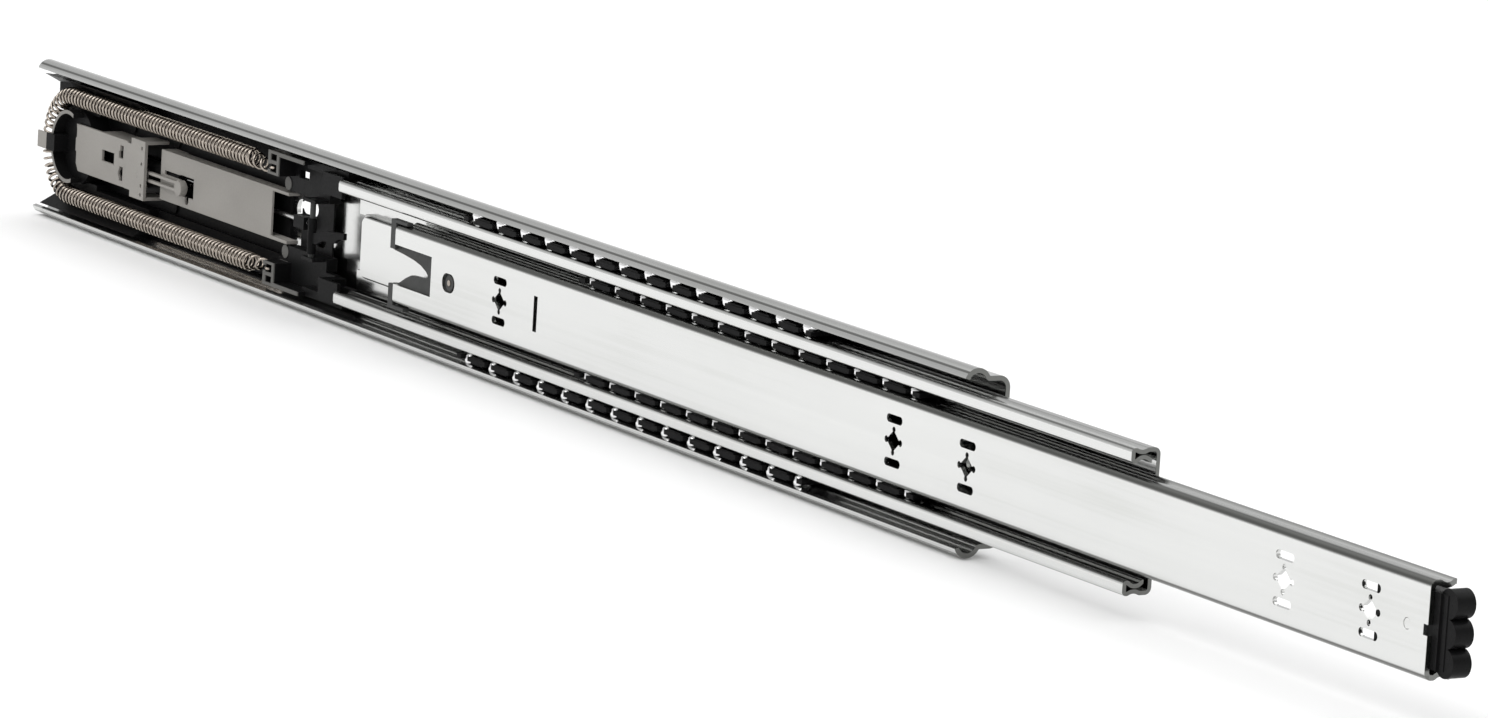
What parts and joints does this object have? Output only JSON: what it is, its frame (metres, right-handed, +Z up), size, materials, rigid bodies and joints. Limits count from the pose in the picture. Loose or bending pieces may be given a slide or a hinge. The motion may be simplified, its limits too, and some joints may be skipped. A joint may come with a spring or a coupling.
{
  "type": "cabinet drawer slide",
  "caption": "Side-mounted telescopic drawer slide: three nested steel channels on ball races, with a spring and damper soft-close unit at the rear.",
  "frame": {"origin": "rear end of the outer member at mid-height, on the face that lies against the cabinet wall", "axes": "+X the opening direction along the slide, -Y from the cabinet wall towards the drawer, +Z up"},
  "size_m": [0.6916, 0.013, 0.045],
  "materials": {
    "zinc_steel": "bright zinc plated, lightly drawn",
    "ball_steel": "polished",
    "black_plastic": "moulded, satin",
    "grey_plastic": "moulded, satin",
    "spring_steel": "drawn wire, oiled",
    "damper_steel": "ground"
  },
  "bodies": {
    "outer": {"outer_member": "zinc_steel", "mechanism_housing": "black_plastic", "spring_guide": "grey_plastic", "spring_clip": "grey_plastic", "housing_rivets": "zinc_steel", "rear_cover": "grey_plastic", "cover_bracket": "grey_plastic", "damper_housing": "grey_plastic", "damper_cylinder": "black_plastic", "damper_end_cap": "black_plastic", "trigger_pivot_pin": "damper_steel", "return_spring": "spring_steel"},
    "trigger": {"trigger_arm": "grey_plastic"},
    "carriage": {"slider_carriage": "black_plastic", "piston_rod": "damper_steel", "damper_piston": "black_plastic", "catch_pin": "damper_steel"},
    "catch": {"catch_finger": "black_plastic"},
    "outer_cage": {"outer_ball_retainer": "black_plastic", "outer_balls_upper": "ball_steel", "outer_balls_lower": "ball_steel"},
    "intermediate": {"intermediate_member": "zinc_steel"},
    "inner_cage": {"inner_ball_retainer": "black_plastic", "inner_balls_upper": "ball_steel", "inner_balls_lower": "ball_steel"},
    "inner": {"inner_member": "zinc_steel", "front_bumper": "black_plastic", "bumper_rivet": "zinc_steel", "lever_pivot_strap": "spring_steel", "arm_end_caps": "black_plastic"},
    "lever": {"release_lever": "black_plastic"}
  },
  "joints": [
    {"name": "soft_close_stroke", "type": "slide", "parent": "outer", "child": "carriage", "axis": [1, 0, 0], "range_m": [-0.069, 0], "deforming": ["return_spring"]},
    {"name": "intermediate_slide", "type": "slide", "parent": "carriage", "child": "intermediate", "axis": [1, 0, 0], "range_m": [0, 0.136]},
    {"name": "outer_cage_roll", "type": "slide", "parent": "outer", "child": "outer_cage", "axis": [1, 0, 0], "range_m": [0, 0.068]},
    {"name": "inner_slide", "type": "slide", "parent": "intermediate", "child": "inner", "axis": [1, 0, 0], "range_m": [-0.115, 0.158]},
    {"name": "inner_cage_roll", "type": "slide", "parent": "intermediate", "child": "inner_cage", "axis": [1, 0, 0], "range_m": [-0.0575, 0.079]},
    {"name": "release_lever_tilt", "type": "hinge", "parent": "inner", "child": "lever", "pos_m": [0.252, -0.0115, 0], "axis": [0, 1, 0], "range_deg": [-2.5, 2.5], "stiffness_Nm_per_rad": 0.25},
    {"name": "trigger_arm_swing", "type": "hinge", "parent": "outer", "child": "trigger", "pos_m": [0.062, -0.0078, -0.0016], "axis": [0, 1, 0], "range_deg": [-3, 3], "stiffness_Nm_per_rad": 0.02},
    {"name": "catch_finger_lift", "type": "hinge", "parent": "carriage", "child": "catch", "pos_m": [0.167, -0.0088, 0], "axis": [0, 0, 1], "range_deg": [-2, 0], "stiffness_Nm_per_rad": 0.03}
  ],
  "couplings": [
    {"joint": "outer_cage_roll", "follows": "intermediate_slide", "ratio": 0.5},
    {"joint": "inner_cage_roll", "follows": "inner_slide", "ratio": 0.5}
  ]
}
